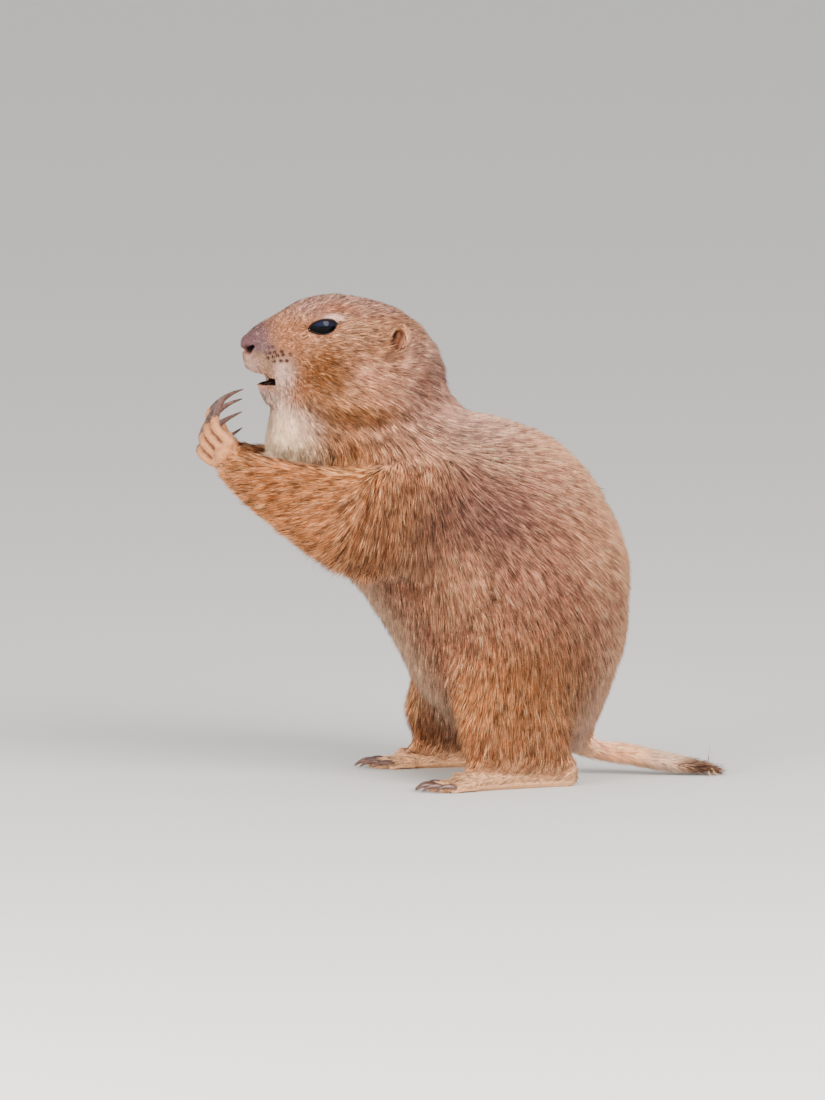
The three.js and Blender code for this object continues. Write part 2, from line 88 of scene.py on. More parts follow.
floor_radius = 9
bpy.ops.mesh.primitive_circle_add(vertices=96, radius=floor_radius, fill_type="NGON")
floor = bpy.context.object
floor.name = "floor"
floor_finish = bpy.data.materials.new("floor")
floor_finish.use_nodes = True
floor_shader = floor_finish.node_tree.nodes["Principled BSDF"]
floor_shader.inputs["Base Color"].default_value = (*paint(196, 194, 190), 1)
floor_shader.inputs["Roughness"].default_value = 0.85
floor.data.materials.append(floor_finish)


def softbox(name, place, aimed_at, width, watts, colour, mirrored=False):
    """A round soft lamp. Shiny surfaces show it only if it is mirrored."""
    bpy.ops.object.light_add(type="AREA", location=place)
    lamp = bpy.context.object
    lamp.name = name
    lamp.data.shape = "DISK"
    lamp.data.size = width
    lamp.data.energy = watts
    lamp.data.color = colour
    lamp.visible_glossy = mirrored
    lamp.rotation_euler = (Vector(place) - Vector(aimed_at)).to_track_quat("Z", "Y").to_euler()


middle = Vector((0, 0, 0.1))
softbox("key lamp", (1.6, 0.5, 0.95), middle, 1.4, 88, (1.0, 0.97, 0.93), mirrored=True)
softbox("front lamp", (0.7, -1.7, 0.35), middle, 1.4, 42, (1.0, 0.96, 0.92))
softbox("low lamp", (1.0, -1.1, 0.15), middle, 0.8, 55, (1.0, 0.94, 0.87))
surround = bpy.data.worlds.new("surround")
surround.use_nodes = True
surround.node_tree.nodes["Background"].inputs["Color"].default_value = (0.84, 0.84, 0.86, 1)
surround.node_tree.nodes["Background"].inputs["Strength"].default_value = 1.3
bpy.context.scene.world = surround

# Skin: form
# One closed hide over the whole animal. The solids reach to the tips of the coat, so
# copies of them are fused, smoothed where limbs join the trunk, and drawn in by the
# depth of the fur that grows on them.
grain = 0.8 * millimetre
parting = 0.35 * millimetre
plug_swelling = 0.3
face_back = -0.040
knee_height = 0.036
plain_share_kept = 0.25
claw_names = sorted(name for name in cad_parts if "claw" in name)
flesh_names = sorted(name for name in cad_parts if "claw" not in name and "eye" not in name)
eye_names = ["eye_left", "eye_right"]


def copies_of(names):
    """Unlinked copies of nodes, each with its faces marked with its place in the list."""
    made = []
    for name in names:
        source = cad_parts[name]
        mesh = source.data.copy()
        mesh.materials.clear()
        mark = mesh.attributes.new("part", "INT", "FACE")
        mark.data.foreach_set("value", [names.index(name)] * len(mesh.polygons))
        copy = bpy.data.objects.new(name + " copy", mesh)
        bpy.context.scene.collection.objects.link(copy)
        made.append(copy)
    return made


def select_only(*objects):
    bpy.ops.object.select_all(action="DESELECT")
    for item in objects:
        item.select_set(True)
    bpy.context.view_layer.objects.active = objects[0]


def apply_modifier(thing, name, kind, **settings):
    modifier = thing.modifiers.new(name, kind)
    for key, value in settings.items():
        setattr(modifier, key, value)
    select_only(thing)
    bpy.ops.object.modifier_apply(modifier=name)


def edit_all(thing, operator, **settings):
    """Runs an edit operator on the whole of a mesh."""
    select_only(thing)
    bpy.ops.object.mode_set(mode="EDIT")
    bpy.ops.mesh.select_all(action="SELECT")
    operator(**settings)
    bpy.ops.object.mode_set(mode="OBJECT")


def weld(thing):
    edit_all(thing, bpy.ops.mesh.remove_doubles, threshold=0.01 * millimetre)


def read_all(items, name, columns, kind):
    flat = np.empty(len(items) * columns, kind)
    items.foreach_get(name, flat)
    return flat.reshape(-1, columns)


def corners_of(mesh):
    return read_all(mesh.vertices, "co", 3, np.float32).astype(float)


def set_corners(mesh, corners):
    mesh.vertices.foreach_set("co", corners.astype(np.float32).ravel())
    mesh.update()


def normals_of(mesh):
    return read_all(mesh.vertex_normals, "vector", 3, np.float32).astype(float)


def edges_of(mesh):
    return read_all(mesh.edges, "vertices", 2, np.int32)


def triangles_of(mesh):
    mesh.calc_loop_triangles()
    return read_all(mesh.loop_triangles, "vertices", 3, np.int32)


def even_out(values, edges, rounds):
    """Averages the values of neighbouring corners, again and again."""
    columns = values.reshape(len(values), -1).copy()
    start, end = edges[:, 0], edges[:, 1]
    count = np.bincount(edges.ravel(), minlength=len(columns)).clip(1)
    for _ in range(rounds):
        for k in range(columns.shape[1]):
            column = columns[:, k]
            total = np.bincount(start, column[end], len(column))
            total += np.bincount(end, column[start], len(column))
            columns[:, k] = 0.5 * column + 0.5 * total / count
    return columns.reshape(values.shape)


def unit(vectors):
    return vectors / np.linalg.norm(vectors, axis=1, keepdims=True).clip(1e-9)


def smooth_step(values, low, high):
    share = ((values - low) / (high - low)).clip(0, 1)
    return share * share * (3 - 2 * share)


# The roots of the claws fill their sockets in the fingers and toes.
claw_root_length = 3 * millimetre


def mark_swelling(things, share):
    for thing in things:
        group = thing.vertex_groups.new(name="swelling")
        group.add(list(range(len(thing.data.vertices))), share, "REPLACE")


claw_ends = {}
plugs = copies_of(claw_names)
for plug in plugs:
    weld(plug)
    points = corners_of(plug.data)
    limb_name = plug.name.split(" ")[0].replace("fore_claw", "hand").replace("hind_claw", "foot")[:-2]
    limb_low, limb_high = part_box(limb_name)
    root_side = (limb_low + limb_high) / 2
    if limb_name.startswith("foot"):
        root_side = Vector((root_side.x, limb_high.y, root_side.z))
    distance = np.linalg.norm(points - np.array(root_side), axis=1)
    root = Vector(points[distance.argmin()])
    tip = Vector(points[distance.argmax()])
    claw_ends[plug.name.split(" ")[0]] = np.array((root, tip))
    along = (tip - root).normalized()
    cut = root + along * claw_root_length
    edit_all(plug, bpy.ops.mesh.bisect, plane_co=cut, plane_no=along, use_fill=True, clear_outer=True)

body_copies = copies_of(flesh_names)
mark_swelling(plugs, plug_swelling)
mark_swelling(body_copies, 1.0)
select_only(*body_copies)
bpy.ops.object.join()
pattern = bpy.context.object
weld(pattern)
pattern_points = corners_of(pattern.data)
pattern_faces = triangles_of(pattern.data)
pattern_tree = BVHTree.FromPolygons(pattern_points.tolist(), pattern_faces.tolist())
part_of_polygon = read_all(pattern.data.attributes["part"].data, "value", 1, np.int32)[:, 0]
polygon_of_face = read_all(pattern.data.loop_triangles, "polygon_index", 1, np.int32)[:, 0]
part_of_face = part_of_polygon[polygon_of_face]

select_only(pattern, *plugs, *copies_of(eye_names))
bpy.context.view_layer.objects.active = pattern
bpy.ops.object.join()
skin = bpy.context.object
skin.name = "skin"
skin.data.name = "skin"
apply_modifier(skin, "swell", "DISPLACE", strength=parting, mid_level=0, vertex_group="swelling")
apply_modifier(skin, "fuse", "REMESH", mode="VOXEL", voxel_size=grain)

# Only the outer surface is kept, without what the remesh leaves inside.
edit_all(skin, bpy.ops.mesh.separate, type="LOOSE")
shells = sorted(bpy.context.selected_objects, key=lambda shell: -len(shell.data.vertices))
skin = shells[0]
for scrap in shells[1:]:
    bpy.data.objects.remove(scrap)
skin.name = "skin"
skin.data.name = "skin"


def parts_of(points):
    """The name of the nearest node for each point."""
    found = [pattern_tree.find_nearest(point)[2] for point in points.tolist()]
    return np.array(flesh_names)[part_of_face[found]]


# Fine where the face, hands and feet are bare or short-haired, coarser under the coat.
points = corners_of(skin.data)
parts = parts_of(points)
fine = np.char.startswith(parts, "hand") | np.char.startswith(parts, "ear")
fine |= np.char.startswith(parts, "foot")
fine |= (parts == "head") & (points[:, 1] < face_back)
plain_corners = skin.vertex_groups.new(name="plain")
plain_corners.add(np.nonzero(~fine)[0].tolist(), 1.0, "REPLACE")
apply_modifier(skin, "thin out", "DECIMATE", ratio=plain_share_kept, vertex_group="plain")
apply_modifier(skin, "three-sided", "TRIANGULATE")

points = corners_of(skin.data)
edges = edges_of(skin.data)
parts = parts_of(points)


def part_is(*stems):
    return np.logical_or.reduce([np.char.startswith(parts, stem) for stem in stems])


def spread(mask, rounds):
    """A mask with soft borders, from 0 to 1."""
    return even_out(mask.astype(float), edges, rounds)


# The coated parts are smoothed, more so on the legs, and most of all over the knees.
trunk_stems = ("neck", "shoulders", "torso", "rump")
limb_stems = ("upper_arm", "forearm", "haunch", "lower_leg")
bare_rounds = 2
coat_rounds = 22
leg_rounds = 90
knee_rounds = 240
coated = spread(part_is(*trunk_stems, *limb_stems, "tail"), 6)[:, None]
firm_points = even_out(points, edges, bare_rounds)
soft_points = even_out(points, edges, coat_rounds)
points = firm_points + (soft_points - firm_points) * coated
on_legs = spread(part_is("haunch", "lower_leg"), 20)[:, None]
points += (even_out(points, edges, leg_rounds) - points) * on_legs
on_knees = spread(part_is("haunch") & (points[:, 2] > knee_height), 60)[:, None]
points += (even_out(points, edges, knee_rounds) - points) * on_knees
set_corners(skin.data, points)

# Skin: places on the head
# The head turns 6 degrees to its right about an upright line through its joint. Its
# features are laid out straight, in millimetres, and turned with it.
head_turn = math.radians(6)
head_joint = -10.15
eye_low, eye_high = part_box("eye_left")
eye_radius = (eye_high.z - eye_low.z) / 2
nose_tip = np.array((0, -82.5, 176))
nostril = np.array((4.6, -82.6, 176.2))
lip_corner = np.array((9.5, -69.5, 162.6))
ear_canal = np.array((24.0, -25.6, 180.4))


def straighten(points):
    """Points in metres, turned back to where they would be on a straight head, in millimetres."""
    x, y, z = (points / millimetre).T
    y = y - head_joint
    cosine, sine = math.cos(head_turn), math.sin(head_turn)
    return np.stack((x * cosine - y * sine, head_joint + x * sine + y * cosine, z), axis=1)


def refine(near, cuts):
    """Divides the faces whose corners all lie near."""
    mesh = skin.data
    corners = triangles_of(mesh)
    chosen = near(straighten(corners_of(mesh)))[corners].all(axis=1)
    select_only(skin)
    bpy.ops.object.mode_set(mode="EDIT")
    bpy.ops.mesh.select_mode(type="FACE")
    bpy.ops.mesh.select_all(action="DESELECT")
    bpy.ops.object.mode_set(mode="OBJECT")
    mesh.polygons.foreach_set("select", chosen)
    bpy.ops.object.mode_set(mode="EDIT")
    bpy.ops.mesh.subdivide(number_cuts=cuts, smoothness=0)
    bpy.ops.mesh.quads_convert_to_tris()
    bpy.ops.object.mode_set(mode="OBJECT")


def folded(places):
    """Points of the head, laid over onto its left side."""
    return np.column_stack((abs(places[:, 0]), places[:, 1:]))


def mirrored_distance(places, centre):
    return np.linalg.norm(folded(places) - centre, axis=1)


eye_centre = straighten(np.array([(eye_low + eye_high) / 2]))[0]
lids_middle = eye_centre + (4, 0, 0)
refine(lambda places: mirrored_distance(places, lids_middle) < 10.5, 2)
refine(lambda places: mirrored_distance(places, nostril) < 6, 2)
refine(lambda places: mirrored_distance(places, (7, -73, 169)) < 13, 1)
refine(lambda places: mirrored_distance(places, ear_canal) < 9, 1)
points = corners_of(skin.data)
edges = edges_of(skin.data)
parts = parts_of(points)
places = straighten(points)

# Skin: lie and length of the coat
# The fur is short on the face and paws and long on the arms, the chest and the tail. It
# runs from the nose back over the head, down the trunk, along the limbs to the fingers
# and toes, and out to the tip of the tail.
Coat = namedtuple("Coat", "length lift width density way")

# Length and width of a tuft in millimetres, its lift off the hide in degrees, tufts for
# each square millimetre, and the way from root to tip on the left side.
coats = {
    "head": Coat(length=6, lift=18, width=0.30, density=6.0, way=(0, 1, -0.2)),
    "neck": Coat(length=9, lift=21, width=0.38, density=5.0, way=(0, 1, -0.8)),
    "shoulders": Coat(length=8.5, lift=21, width=0.40, density=4.9, way=(0, 0.8, -1)),
    "torso": Coat(length=9, lift=20, width=0.42, density=4.5, way=(0, 0.4, -1)),
    "rump": Coat(length=9, lift=20, width=0.42, density=4.5, way=(0, 0.2, -1)),
    "upper_arm": Coat(length=10, lift=19, width=0.42, density=4.6, way=(0, -0.25, -1)),
    "forearm": Coat(length=8, lift=17, width=0.38, density=5.2, way=(-0.15, -0.8, -0.15)),
    "hand": Coat(length=1.3, lift=8, width=0.17, density=7.5, way=(-0.34, -0.74, 0.58)),
    "ear": Coat(length=2.4, lift=20, width=0.20, density=8.0, way=(0.3, 0.3, 1)),
    "haunch": Coat(length=9, lift=18.5, width=0.42, density=4.7, way=(0, -0.1, -1)),
    "lower_leg": Coat(length=8.5, lift=17, width=0.40, density=4.8, way=(0, -0.15, -1)),
    "foot": Coat(length=3.4, lift=13, width=0.24, density=6.5, way=(0, -1, -0.1)),
    "tail": Coat(length=10, lift=15, width=0.36, density=5.0, way=(0.25, 1, -0.2)),
}


def on_parts(read):
    """A value for each corner of the skin, read from the coat of the part that it is on."""
    first = np.atleast_1d(read(coats["head"]))
    values = np.tile(first.astype(float), (len(points), 1))
    for stem, coat in coats.items():
        values[part_is(stem)] = read(coat)
    return values


outward = np.where((points[:, 0] < 0) & ~part_is("tail"), -1, 1)
length = on_parts(lambda coat: coat.length)[:, 0]
lift = on_parts(lambda coat: coat.lift)[:, 0]
width = on_parts(lambda coat: coat.width)[:, 0]
density = on_parts(lambda coat: coat.density)[:, 0]
way = unit(on_parts(lambda coat: coat.way))
way[:, 0] *= outward

on_head = part_is("head")
from_nose = np.linalg.norm(places - nose_tip, axis=1)
way[on_head] = unit(unit(places[on_head] - nose_tip) + (0, 0.25, -0.25))
length[on_head] = np.interp(from_nose[on_head], (3, 9, 22, 40, 60), (0.7, 1.3, 2.6, 4.6, 7.0))
crown = smooth_step(places[:, 2], 180, 194) * on_head
length *= 1 - 0.35 * crown
width[on_head] = np.interp(from_nose[on_head], (3, 22, 60), (0.18, 0.26, 0.38))
density[on_head] = np.interp(from_nose[on_head], (3, 22, 60), (8.0, 6.5, 4.6))

# The trunk's middle line leans less and less from the neck down, and the fur with it.
on_trunk = part_is(*trunk_stems)
lean = np.interp(points[on_trunk, 2] / millimetre, (40, 95, 125, 150), (0.1, 0.6, 1.2, 1.6))
lean *= np.interp(points[on_trunk, 1] / millimetre, (-70, -35, 0), (-0.4, 0.1, 1.0))
way[on_trunk] = unit(np.stack((np.zeros_like(lean), lean, np.full_like(lean, -1)), axis=1))

# Fur stands out more on the front of the trunk, and is longer and looser on the chest.
front = smooth_step(-normals_of(skin.data)[:, 1], 0.2, 0.8) * on_trunk
lift += 6 * front
chest_front = smooth_step(-normals_of(skin.data)[:, 1], 0.0, 0.6) * part_is("neck", "shoulders")
chest_front *= smooth_step(points[:, 2] / millimetre, 112, 124)
lift += 10 * chest_front
length *= 1 + 0.25 * chest_front

# It lies flatter on the upper side of the arms.
upper_side = smooth_step(normals_of(skin.data)[:, 2], 0.2, 0.8)
lift *= 1 - 0.45 * upper_side * part_is("forearm", "upper_arm")

length = even_out(length, edges, 30)
lift = even_out(lift, edges, 30)
way = unit(even_out(way, edges, 40))
eye_gap = mirrored_distance(places, lids_middle)
ear_gap = mirrored_distance(places, ear_canal)
length *= np.interp(eye_gap, (4.5, 9), (0.35, 1)) * np.interp(ear_gap, (3, 5, 11), (1.0, 0.8, 1))

# Loose hide and fur of the cheeks hang in a ridge over a fold above the shoulders.
fold_height = np.interp(places[:, 1], (-65, -50, -31, -18), (155.5, 148.5, 150, 153))
above_fold = places[:, 2] - fold_height
fold_share = smooth_step(abs(places[:, 0]), 12, 24) * smooth_step(places[:, 1], -72, -58)
fold_share *= (1 - smooth_step(places[:, 1], -32, -14)) * part_is("head", "neck", "shoulders")
ridge_height = 1.8
ridge_middle = 5.5
ridge_spread = 4.5
furrow_depth = 1.6
furrow_middle = -1.5
furrow_spread = 3.2
jowl = ridge_height * np.exp(-((above_fold - ridge_middle) / ridge_spread) ** 2)
jowl -= furrow_depth * np.exp(-((above_fold - furrow_middle) / furrow_spread) ** 2)
points = points + normals_of(skin.data) * (jowl * fold_share * millimetre)[:, None]

# The hide is drawn in by a little more than the height of the fur that stands on it,
# but not at the soles, which stay on the floor.
depth_to_spare = 1.15
coat_depth = depth_to_spare * length * np.sin(np.radians(lift)) * millimetre
sole = part_is("foot") * smooth_step(-normals_of(skin.data)[:, 2], 0.3, 0.7)
coat_depth *= 1 - sole
points = points - normals_of(skin.data) * coat_depth[:, None]
points[:, 2] = points[:, 2].clip(0)
set_corners(skin.data, points)

# Skin: lids
# Each eye looks out through an almond-shaped slit, its front corner lower. The lids
# lie close on the ball, thicken to a rim at their edges and run out into the cheek.
lid_slit = (6.6, 2.35)
lid_tilt = math.radians(-10)
rim_gaps = (-0.9, -0.1, 0.15, 0.7, 2.2)
rim_heights = (-1.4, -0.5, 0.40, 0.85, 0.6)
least_lid = 0.4
lid_reach = 13
spur_middle = (8.2, 0.4)
spur_reach = (2.6, 0.9)


def shape_lids(side):
    """The corners near one eye, their new places, and their gaps to its slit and dark spur."""
    ball = eye_centre * (side, 1, 1)
    outwards = np.array((side, 0, 0))
    along = np.array((0, math.cos(lid_tilt), -math.sin(lid_tilt)))
    above = np.array((0, math.sin(lid_tilt), math.cos(lid_tilt)))
    places = straighten(corners_of(skin.data))
    offset = places - ball
    reach = np.linalg.norm(offset, axis=1)
    u, v, w = offset @ along, offset @ above, offset @ outwards
    opening = lid_slit[1] * (1 - (u / lid_slit[0]) ** 2)
    beyond = abs(v) - opening.clip(0)
    beyond += 0.8 * (abs(u) - lid_slit[0]).clip(0)
    ball_radius = eye_radius / millimetre
    rim = ball_radius + np.interp(beyond, rim_gaps, rim_heights)
    natural = np.maximum(reach, ball_radius + least_lid)
    blend = smooth_step(beyond, 1.5, 5.5)
    wanted = rim + (natural - rim) * blend
    chosen = (reach < lid_reach) & (w > 1.2)
    offset[chosen] *= (wanted[chosen] / reach[chosen])[:, None]
    spur = np.hypot((u - spur_middle[0]) / spur_reach[0], (v - spur_middle[1]) / spur_reach[1])
    return chosen, ball + offset, beyond, spur


def unstraighten(places):
    """Points of the straight head in millimetres, put back on the turned head in metres."""
    x, y, z = places.T
    y = y - head_joint
    cosine, sine = math.cos(head_turn), math.sin(head_turn)
    turned_places = np.stack((x * cosine + y * sine, head_joint + y * cosine - x * sine, z), axis=1)
    return turned_places * millimetre


lid_edge = np.full(len(points), 9.0)
eye_spur = np.zeros(len(points))
for side in (1, -1):
    chosen, moved, beyond, spur = shape_lids(side)
    points = corners_of(skin.data)
    points[chosen] = unstraighten(moved[chosen])
    set_corners(skin.data, points)
    lid_edge[chosen] = np.minimum(lid_edge[chosen], beyond[chosen])
    eye_spur[chosen] = np.maximum(eye_spur[chosen], 1 - smooth_step(spur[chosen], 0.5, 1.2))

# Skin: nostrils, mouth and ears
# Two comma-shaped nostrils open at the sides of a bare pad and run up and back. The
# mouth stands a little open under a cleft upper lip, and each ear is a shallow cup
# with a narrow upright slit in it.
nostril_axis = np.array((0, 0.72, 0.69))
ear_slit_axis = np.array((0, 0.375, 0.927))


def tapering_spot(places, root, axis, run, radii):
    """The distance from a short line, as a share of its radius, which changes along it."""
    offset = folded(places) - root
    along = (offset @ axis).clip(*run)
    radius = np.interp(along, run, radii)
    gap = np.linalg.norm((offset - along[:, None] * axis)[:, 1:], axis=1)
    return gap / radius


def push(places, share, way, depth):
    """Moves points of both sides, each along a way that is given for the left one."""
    towards = np.array(way) / np.linalg.norm(way)
    sides = np.column_stack((np.sign(places[:, 0]), np.ones((len(places), 2))))
    return places + sides * towards * (depth * share)[:, None]


places = straighten(corners_of(skin.data))
around_nose = mirrored_distance(places, nostril) < 5
nostril_reach = tapering_spot(places, nostril, nostril_axis, (-0.5, 1.9), (1.5, 0.6))
nostril_hole = (1 - smooth_step(nostril_reach, 0.6, 1.15)) * around_nose
around_ear = mirrored_distance(places, ear_canal) < 9
slit_reach = tapering_spot(places, ear_canal, ear_slit_axis, (-3.4, 3.4), (1.0, 0.6))
ear_hole = (1 - smooth_step(slit_reach, 0.5, 1.2)) * around_ear
shell_reach = tapering_spot(places, ear_canal + (0, 1.0, 0), ear_slit_axis, (-2.4, 2.4), (2.9, 2.5))
ear_shell = (1 - smooth_step(shell_reach, 0.45, 1.1)) * around_ear
around_mouth = (folded(places)[:, 0] < 12) & (places[:, 1] < -66)
mouth_back = lip_corner[1]
mouth_places = (-84, -77, mouth_back - 1, mouth_back + 1.5)
mouth_height = np.interp(places[:, 1], mouth_places, (2.7, 2.3, 1.2, 0.3))
mouth_height *= np.interp(abs(places[:, 0]), (0, 5, 9.5), (1, 1, 0.85))
mouth_middle = np.interp(places[:, 1], (-82, mouth_back), (164.2, lip_corner[2] + 0.2))
gape = abs(places[:, 2] - mouth_middle) / mouth_height
mouth_hole = (1 - smooth_step(gape, 0.7, 1.1)) * around_mouth
mouth_hole *= 1 - smooth_step(places[:, 1], mouth_back, mouth_back + 1.5)
cleft = np.exp(-((places[:, 0] / 0.8) ** 2)) * (places[:, 1] < -76)
cleft *= smooth_step(places[:, 2], 164, 167) * (1 - smooth_step(places[:, 2], 173, 177))
moved_places = places
for share, way_in, depth in (
    (nostril_hole, (-1, 0.7, 0.2), 2.4),
    (ear_shell, (-1, -0.2, 0), 1.3),
    (ear_hole, (-1, 0, 0), 3.0),
    (mouth_hole, (-0.8, 1, 0), 3.2),
    (cleft, (0, 1, 0), 0.9),
):
    moved_places = push(moved_places, share, way_in, depth)
moved = (cleft > 0.02) | (nostril_hole > 0) | (ear_shell > 0) | (ear_hole > 0) | (mouth_hole > 0)
points = corners_of(skin.data)
points[moved] = unstraighten(moved_places[moved])
set_corners(skin.data, points)

# Skin and coat: markings
# Grizzled brown over the crown, nape and back, orange on the limbs and cheeks, pale on
# the muzzle, throat, belly and inner thigh, and dark just before the tail's brown tip.
points = corners_of(skin.data)
edges = edges_of(skin.data)
normals = normals_of(skin.data)
head_share = spread(part_is("head", "ear", "neck"), 16)
places = points / millimetre
places += (straighten(points) - places) * head_share[:, None]
places[:, 0] = abs(places[:, 0])
colour_spread = 60

base_paints = {
    "head": paint(170, 112, 82),
    "ear": paint(184, 126, 88),
    "neck": paint(195, 138, 114),
    "shoulders": paint(166, 108, 98),
    "torso": paint(203, 132, 109),
    "rump": paint(236, 192, 174),
    "upper_arm": paint(160, 101, 70),
    "forearm": paint(154, 92, 54),
    "hand": paint(156, 109, 80),
    "haunch": paint(195, 123, 79),
    "lower_leg": paint(206, 130, 90),
    "foot": paint(182, 138, 106),
    "tail": paint(255, 184, 142),
}
tint = np.tile(base_paints["head"], (len(points), 1))
for stem, colour in base_paints.items():
    tint[part_is(stem)] = colour
tint = even_out(tint, edges, colour_spread)
grizzle = np.full(len(points), 0.15)


def wash(colour, share, speckle=None):
    """Mixes a colour into the markings by share, and dark-tipped hairs by speckle."""
    share = share.clip(0, 1)
    tint[:] += (np.array(colour) - tint) * share[:, None]
    if speckle is not None:
        grizzle[:] += (speckle - grizzle) * share


def patch(centre, reach):
    """One at the middle of a soft oval patch, and nothing past its reach."""
    distance = np.linalg.norm((places - centre) / reach, axis=1)
    return 1 - smooth_step(distance, 0.35, 1.25)


def facing(x, y, z, low, high):
    way = np.array((x, y, z)) / math.sqrt(x * x + y * y + z * z)
    return smooth_step(normals @ way, low, high)


trunk_share = spread(part_is(*trunk_stems), 20)
head_only = spread(part_is("head"), 10)
arm_share = spread(part_is("upper_arm", "forearm", "hand"), 8)
on_tail = part_is("tail")
near_middle = 1 - smooth_step(places[:, 0], 2, 30)

# Back, belly and flanks.
# The trunk is painted paler where it faces up and back: a painted highlight.
wash(paint(246, 176, 140), 0.9 * facing(0, 0.85, 0.5, 0.1, 0.95) * trunk_share, 0.15)
wash(paint(218, 176, 150), 0.9 * facing(0, -0.85, -0.5, 0.3, 0.95) * trunk_share * near_middle, 0.05)
wash(paint(139, 92, 85), 0.75 * patch((52, 0, 116), (24, 30, 28)), 0.45)
# The flank patch is paler tan: partly its own colour, partly painted light that lifts the shade under
# the arm.
wash(paint(236, 166, 129), 0.75 * patch((44, -14, 80), (18, 24, 28)), 0.15)

# Crown, nape, shoulders, cheeks and brow.
wash(paint(183, 134, 124), 0.8 * smooth_step(places[:, 2], 186, 195) * head_only, 0.6)
wash(paint(230, 177, 168), 0.7 * patch((12, 2, 162), (34, 34, 30)), 0.35)
wash(paint(169, 128, 111), 0.6 * patch((36, 8, 142), (26, 26, 16)), 0.5)
wash(paint(233, 166, 138), 0.75 * patch((28, -37, 163), (12, 14, 14)), 0.2)
wash(paint(174, 120, 88), 0.6 * patch((22, -52, 178), (10, 12, 8)), 0.15)
wash(paint(134, 79, 38), 0.9 * patch((25, -56, 168), (11, 10, 12.5)), 0.5)
wash(paint(198, 133, 92), 0.6 * patch((28, -46, 158), (14, 16, 9)), 0.2)
wash(paint(142, 72, 44), 0.85 * patch((28, -15, 167), (12, 6, 16)), 0.2)
wash(paint(190, 140, 110), 0.5 * patch((22, -40, 184), (10, 12, 6)), 0.2)
wash(paint(165, 99, 71), 0.75 * patch((15, -49, 193), (8, 11, 3.4)), 0.15)
wash(paint(226, 188, 170), 0.85 * patch((19, -50, 189.6), (6, 5, 2.6)), 0)

# Muzzle, chin, throat and the white of the chest.
wash(paint(154, 120, 99), 0.9 * patch((8, -77, 172), (9, 9, 9)) * head_only, 0.1)
wash(paint(184, 149, 140), 0.8 * patch((4, -82, 169), (8, 6, 6)) * head_only, 0.05)
wash(paint(194, 165, 153), 0.85 * patch((12, -68, 166), (9, 7, 10)), 0.08)
wash(paint(217, 197, 192), 0.9 * patch((10, -67.5, 166), (6, 5, 8)), 0.02)
wash(paint(180, 160, 160), 0.8 * patch((4, -74, 155), (14, 10, 7)), 0.05)
wash(paint(192, 163, 156), 0.9 * patch((10, -70, 148), (24, 16, 11)) * (1 - arm_share), 0.05)
wash(paint(255, 222, 188), 0.98 * patch((12, -72, 134), (24, 20, 22)) * (1 - arm_share), 0.02)

# Under the cheek, the arms, the inner thigh and the tail.
wash(paint(158, 94, 46), 0.75 * patch((30, -44, 152), (10, 18, 5)), 0.15)
wash(paint(149, 92, 55), 0.5 * patch((38, -58, 99), (18, 26, 9)), 0.15)
wash(paint(182, 116, 66), 0.7 * patch((35, -47, 136), (14, 15, 13)), 0.3)
wash(paint(169, 103, 57), 0.7 * patch((22, -90, 133), (9, 10, 10)), 0.1)
wash(paint(210, 181, 163), 0.85 * patch((40, -17, 38), (12, 7, 16)), 0.03)
wash(paint(214, 181, 160), 0.9 * patch((10, 84, 7), (14, 12, 10)) * on_tail, 0.05)
wash(paint(76, 44, 34), smooth_step(places[:, 1], 87, 93) * on_tail, 0.1)
wash(paint(167, 114, 82), smooth_step(places[:, 1], 101, 106) * on_tail, 0.1)

# Whisker roots: uneven rows of dark dots on each side of the muzzle, from the top down,
# each with the place of its first dot and its number of dots.
whisker_rows = ((-75.5, 2), (-77, 4), (-76.2, 5), (-73.5, 3))
dot_step = 2.2
whisker_roots = []
for row, (row_start, dots) in enumerate(whisker_rows):
    for k in range(dots):
        along = row_start + dot_step * k + 0.5 * math.sin(5 * k + row)
        up = 177 - 1.8 * row + 0.3 * k + 0.35 * math.cos(7 * k + 2 * row)
        whisker_roots.append((along, up))
root_gap = np.full(len(places), 9.0)
for along, up in whisker_roots:
    root_gap = np.minimum(root_gap, np.hypot(places[:, 1] - along, places[:, 2] - up))
whisker_pad = (1 - smooth_step(root_gap, 1.2, 3)) * head_only * (places[:, 0] > 3)
whisker_dot = (1 - smooth_step(root_gap, 0.5, 1.0)) * whisker_pad
wash(paint(64, 37, 29), 0.95 * whisker_dot, 0)
length *= 1 - 0.65 * whisker_pad
length *= 1 - 0.7 * (1 - smooth_step(gape, 1.0, 2.2)) * around_mouth

# Bare skin: the pad of the nose, the lips, the lids and the inside of the mouth, nostrils
# and ears. It is 1 where there is no fur at all.
nose_top = smooth_step(places[:, 2], 173.5, 177.5) * (1 - smooth_step(places[:, 1], -79, -70))
nose_top *= head_only
nose_pad = (1 - smooth_step(mirrored_distance(places, nostril), 1.6, 4.4)) * head_only
lips = patch((2, -80, 161.6), (7, 7, 2.6)) * head_only
lid_line = 1 - smooth_step(lid_edge, 0.8, 1.6)
wash(paint(106, 80, 90), 0.85 * nose_top, 0.2)
wash(paint(50, 33, 33), 0.9 * nose_pad * smooth_step(places[:, 2], 172, 175), 0)
wash(paint(150, 110, 100), 0.5 * lips, 0)
# A darker ring round each ear is painted shadow about its rim.
ear_shadow_ring = smooth_step(ear_gap, 4.2, 5.6) * (1 - smooth_step(ear_gap, 6.4, 8.6)) * head_only
wash(paint(118, 69, 45), 0.65 * ear_shadow_ring, 0.3)
# The cup of each ear is painted dark brown: painted shade inside it.
wash(paint(82, 54, 42), 0.9 * ear_shell, 0)
